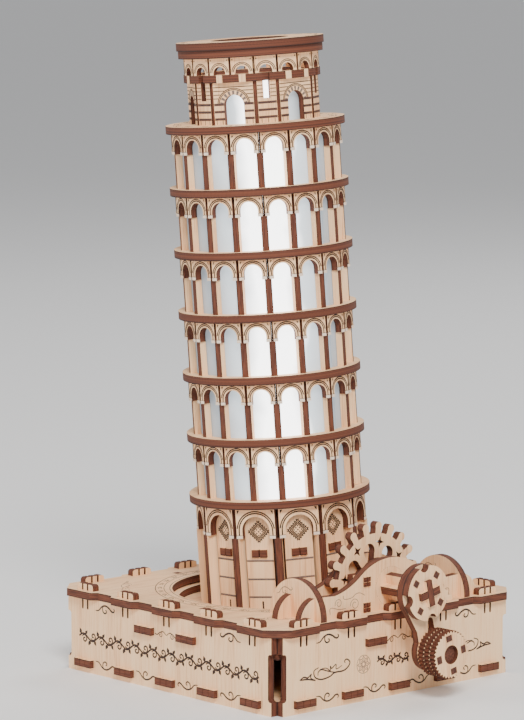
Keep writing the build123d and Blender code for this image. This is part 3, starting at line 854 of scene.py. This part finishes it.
def smallScroll(width=0.95):
    main = softLine((-7.8, -1.5), (-5.2, -1.1), (-2.6, 1.1), (0.2, 1.9), (3.0, 1.1), (5.2, -0.4),
                    (6.8, -0.5), (7.4, 0.5), (6.7, 1.3))
    drop = softLine((-1.4, 1.6), (-2.1, 0.2), (-1.6, -1.5), (-0.2, -2.1), (1.0, -1.5), (0.9, -0.5),
                    (0.1, -0.4))
    return [pen(main, width, 0.65), pen(drop, width * 0.85, 0.6)]


def wideScroll(width=0.55):
    strokes = []
    for side in (-1, 1):
        knots = ((0, -0.6), (2.6, 1.0), (5.0, 0.3), (7.2, -1.0), (9.0, -0.6))
        strokes.append(pen(softLine(*((side * u, v) for u, v in knots)), width, 0.5))
        strokes.append(pen(spiral(side * 4.6, -0.9, 1.5, 0.3, 90, 1.1 * side), width * 0.8, 0.4))
    return strokes


def flourish(width=0.8):
    loop = softLine((-4.4, 2.7), (-7.6, 1.5), (-7.0, -1.7), (-3.0, -3.6), (2.8, -3.3), (6.3, -1.9),
                    (12.1, -2.1), (15.5, -0.8), (17.0, 1.4), (15.0, 3.3), (13.3, 2.6), (13.8, 1.6))
    inner = softLine((-5.0, -1.3), (-4.7, 0.4), (-2.4, 1.3), (1.6, -0.2), (6.3, -1.7), (10.9, -2.0))
    crest = softLine((-3.6, 1.6), (0.5, 1.5), (3.4, -0.3), (3.6, 1.9), (4.5, 0.6), (7.4, 2.1), (7.6, -0.3),
                     (11.5, 0.7))
    leafTop = softLine((-17.4, -1.3), (-14.5, -0.3), (-11.9, -1.0), (-9.3, 0.5))
    leafFoot = softLine((-17.4, -1.3), (-12.2, -1.8), (-6.7, -3.4))
    leafSide = softLine((-9.3, 0.5), (-9.9, -1.6), (-6.7, -3.4))
    return [pen(loop, width, 0.5), pen(inner, width * 0.8, 0.5), pen(crest, width * 0.75, 0.5),
            pen(leafTop, width, 0.4), pen(leafFoot, width, 0.4), pen(leafSide, width * 0.8, 0.4)]


def leaf(length, width):
    return patch(softLine((0, 0), (length * 0.35, width * 0.55), (length, 0))
                 + softLine((length, 0), (length * 0.45, -width * 0.4), (0, 0))[1:-1])


titleScroll = {"start": -70.0, "height": 18.7, "step": 14.0, "count": 10, "swing": 1.7, "stem": 0.95,
               "steps": 24, "curlWidth": 0.85}
shortScroll = {"start": -14.5, "size": 0.8, "count": 2}


def vineStrokes():
    step, swing, steps = titleScroll["step"], titleScroll["swing"], titleScroll["steps"]
    stem = [(step * i / steps, swing * math.sin(2 * math.pi * i / steps)) for i in range(steps + 1)]
    strokes = [pen(stem, titleScroll["stem"])]
    for sign, u in ((1, step * 0.25), (-1, step * 0.75)):
        curl = spiral(0, 0, 2.3, 0.35, 150, -1.3)
        strokes += moved([pen(curl, titleScroll["curlWidth"], 0.3)], u + 0.9, -sign * 1.0, flip=sign < 0)
        strokes += moved([leaf(3.2, 2.2)], u - 1.6, sign * 1.4, 116 * sign)
        strokes += moved([leaf(2.8, 1.9)], u + 1.6, sign * 1.4, 54 * sign)
    return strokes


wallMarks = {"tabPitch": 32.5, "topScroll": 35.4, "middleScroll": 29.6, "bottomScroll": 5.6,
             "flourish": (50.4, 19.0), "rosette": (-24.0, 18.8, 4.9)}


def commonWallStrokes():
    pitch, low = wallMarks["tabPitch"], wallMarks["bottomScroll"]
    strokes = []
    for side in (-1, 1):
        mirror = side > 0
        strokes += moved(smallScroll(), side * 1.5 * pitch, wallMarks["topScroll"], mirror=mirror)
        for place in (0.5, 1.5):
            strokes += moved(smallScroll(0.85), side * place * pitch, low, mirror=mirror, flip=True)
    return strokes


def rosetteStrokes():
    u, v, reach = wallMarks["rosette"]
    strokes = [pen(arc(reach * 0.94, u, v, 0, 350, 30), 0.3, closed=True)]
    petal = [pen(softLine((0.9, 0), (2.4, side), (4.2, 0)), 0.3) for side in (1.0, -1.0)]
    petal.append(pen([(1.3, 0), (3.4, 0)], 0.25))
    for i in range(8):
        strokes += moved(petal, u, v, i * 45)
    return strokes


def makeWalls():
    face = wallFace
    front = facePlace(Vector((0, -face, 0)), xAxis, zAxis)
    right = facePlace(Vector((face, 0, 0)), yAxis, zAxis)
    back = facePlace(Vector((0, face, 0)), -xAxis, zAxis)
    left = facePlace(Vector((-face, 0, 0)), -yAxis, zAxis)
    for name, place in (("front", front), ("right", right), ("back", back), ("left", left)):
        addMarks(f"wall_{name}_scrolls", commonWallStrokes(), place, "base", engraved)
        wave = moved(wideScroll(), 0, wallMarks["middleScroll"])
        addMarks(f"wall_{name}_wave", wave, place, "base", engraved)
    u, v = wallMarks["flourish"]
    for name, place in (("right", right), ("left", left), ("back", back)):
        wide = moved(flourish(), -u, v, 3) + moved(flourish(), u, v, -3, mirror=True)
        addMarks(f"wall_{name}_flourish", wide, place, "base", engraved)
        pair = rosetteStrokes() + moved(rosetteStrokes(), mirror=True)
        addMarks(f"wall_{name}_rosette", pair, place, "base", faintEngraving)
    height = titleScroll["height"]
    vine = markMesh("wall_front_vine", moved(vineStrokes(), titleScroll["start"], height), front)
    values = {"count": titleScroll["count"], "step": xAxis * titleScroll["step"] * mm}
    repeatMesh("wall_front_vine", vine, rowTree, rowNames, values, engraved, Matrix(), "base")
    short = moved(vineStrokes(), shortScroll["start"], height, size=shortScroll["size"])
    vine = markMesh("wall_right_vine", short, right)
    values = {"count": shortScroll["count"], "step": yAxis * titleScroll["step"] * shortScroll["size"] * mm}
    repeatMesh("wall_right_vine", vine, rowTree, rowNames, values, engraved, Matrix(), "base")
    print("walls engraved")


deckMarks = {"rings": ((61.2, 0.32), (64.3, 0.28), (68.8, 0.4)),  # radius and line width
             "from": 31.0, "to": 329.0, "ringSteps": 120,
             "ornaments": 34, "ornamentRadius": 66.5, "ornamentSize": 1.05, "ornamentInset": 4,
             "inlays": ((-70.5, 14.8), (-70.5, -14.8), (14.8, -70.5), (-14.8, -70.5)), "inlaySize": 4.0,
             "cornerReach": 84, "cornerTurns": (135, 225, 315), "cornerSize": 0.8, "cornerLine": 0.35}


def bandOrnament():
    strokes = [pen(softLine((-2.6, -0.6), (-1.2, 0.9), (0.6, 0.5), (1.6, -0.7), (2.6, -0.3)), 0.4, 0.4),
               pen(spiral(-0.6, -0.5, 0.9, 0.2, 60, 1.0), 0.3), diamond(2.0, 0.9, 0.4)]
    return moved(strokes, size=deckMarks["ornamentSize"])


def makeDeck():
    top = facePlace(Vector((0, 0, deckTop)), xAxis, yAxis)
    start, end, steps = deckMarks["from"], deckMarks["to"], deckMarks["ringSteps"]
    rings = [pen(arc(radius, 0, 0, start, end, steps), width) for radius, width in deckMarks["rings"]]
    addMarks("deck_rings", rings, top, "base", engraved)
    size = deckMarks["inlaySize"]
    tiles = [block(u, v, size, size) for u, v in deckMarks["inlays"]]
    addMarks("deck_inlays", tiles, top, "base", dowel)
    count, inset = deckMarks["ornaments"], deckMarks["ornamentInset"]
    step = (end - start - 2 * inset) / (count - 1)
    aroundLevel("deck_ornament", bandOrnament(), deckMarks["ornamentRadius"], 0, engraved, count,
                start + inset, step, Matrix.Translation((0, 0, deckTop)), "base")
    corners = []
    for turn in deckMarks["cornerTurns"]:
        scroll = moved(moved(flourish(deckMarks["cornerLine"]), size=deckMarks["cornerSize"]), 0, 0, 90)
        way, reach = math.radians(turn), deckMarks["cornerReach"]
        corners += moved(scroll, reach * math.cos(way), reach * math.sin(way), turn)
    addMarks("deck_corner_scrolls", corners, top, "base", faintEngraving)
    print("deck engraved")


housing = {"boardThickness": 4.0, "swirl": 0.3, "spiral": 0.28,
           "cheekCurl": (55.5, 56.5, 12, 0.8), "cheekLine": 0.4}  # place, turn and size of the curl


def makeHousing():
    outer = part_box("panel_outer")[1].x
    place = facePlace(Vector((outer, 0, 0)), yAxis, zAxis)
    low = softLine((-41.8, 45.6), (-42.1, 48.1), (-40.4, 48.7), (-35.8, 47.4), (-31.2, 47.3))
    high = softLine((-32.9, 53.9), (-32.0, 52.1), (-27.1, 52.2), (-24.2, 53.8), (-21.3, 54.0), (-17.9, 52.4))
    strokes = [pen(low, housing["swirl"]),
               pen(spiral(-36.0, 50.4, 2.5, 0.8, 200, -1.3), housing["spiral"]),
               pen(spiral(-24.8, 48.6, 3.2, 1.0, 190, -1.4), housing["spiral"]),
               pen(high, housing["swirl"])]
    addMarks("panel_outer_swirls", strokes + moved(strokes, mirror=True), place, "base", faintEngraving)
    low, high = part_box("cheeks")
    for name, face in (("front", low.y), ("rear", high.y - housing["boardThickness"] * mm)):
        place = facePlace(Vector((0, face, 0)), xAxis, zAxis)
        curls = moved(smallScroll(housing["cheekLine"]), *housing["cheekCurl"])
        addMarks(f"cheek_{name}_curls", curls, place, "base", faintEngraving)
    print("housing engraved")


# radius, height on the tower's axis and count of the ornaments on the top ledge and the crown
ledges = {"ledge": (40.6, 242.3, 18), "ledgeLine": 0.35, "crown": (34.4, 284.2, 24), "crownLine": 0.3}


def makeLedges():
    curl = spiral(-1.0, 0.4, 2.0, 0.5, -40, 1.2)
    tail = softLine((-4.2, -1.4), (-1.0, -1.9), (2.0, -0.9), (4.4, -1.6))
    curls = [pen(curl, ledges["ledgeLine"]), pen(tail, ledges["ledgeLine"]), diamond(2.9, 0.9, 0.55)]
    radius, height, count = ledges["ledge"]
    aroundLevel("ledge_ornament", curls, radius, height, engraved, count)
    garland = softLine((-3.4, 0.9), (-1.8, -0.6), (0, -1.3), (1.8, -0.6), (3.4, 0.9))
    dots = [diamond(0, 0, 0.75), pen(garland, ledges["crownLine"])]
    radius, height, count = ledges["crown"]
    aroundLevel("crown_ornament", dots, radius, height, engraved, count)
    print("ledges engraved")


lamp = {"dark": (0.78, 0.78, 0.75, 1), "light": (0.86, 0.86, 0.83, 1), "roughness": 0.4, "scale": 60}


def lampMaterial():
    material, tree, shader = startMaterial("lampWhite", lamp["roughness"])
    place = tree.nodes.new("ShaderNodeTexCoord").outputs["Object"]
    cloud = noiseAt(tree, place, lamp["scale"], 2)
    tone = ramp(tree, cloud, [(0.3, lamp["dark"]), (0.7, lamp["light"])])
    tree.links.new(tone, shader.inputs["Base Color"])
    return material


def makeLamp():
    addSolid(cleanCopy("lamp_post"), "lamp_tube", "lamp_post", lampMaterial(), "lamp")
    print("lamp made")


makeCamera()
makeStudio()
makeBoards()
makeLamp()
makeArcades()
makeGroundPanels()
makeBelfry()
makeWalls()
makeDeck()
makeHousing()
makeLedges()
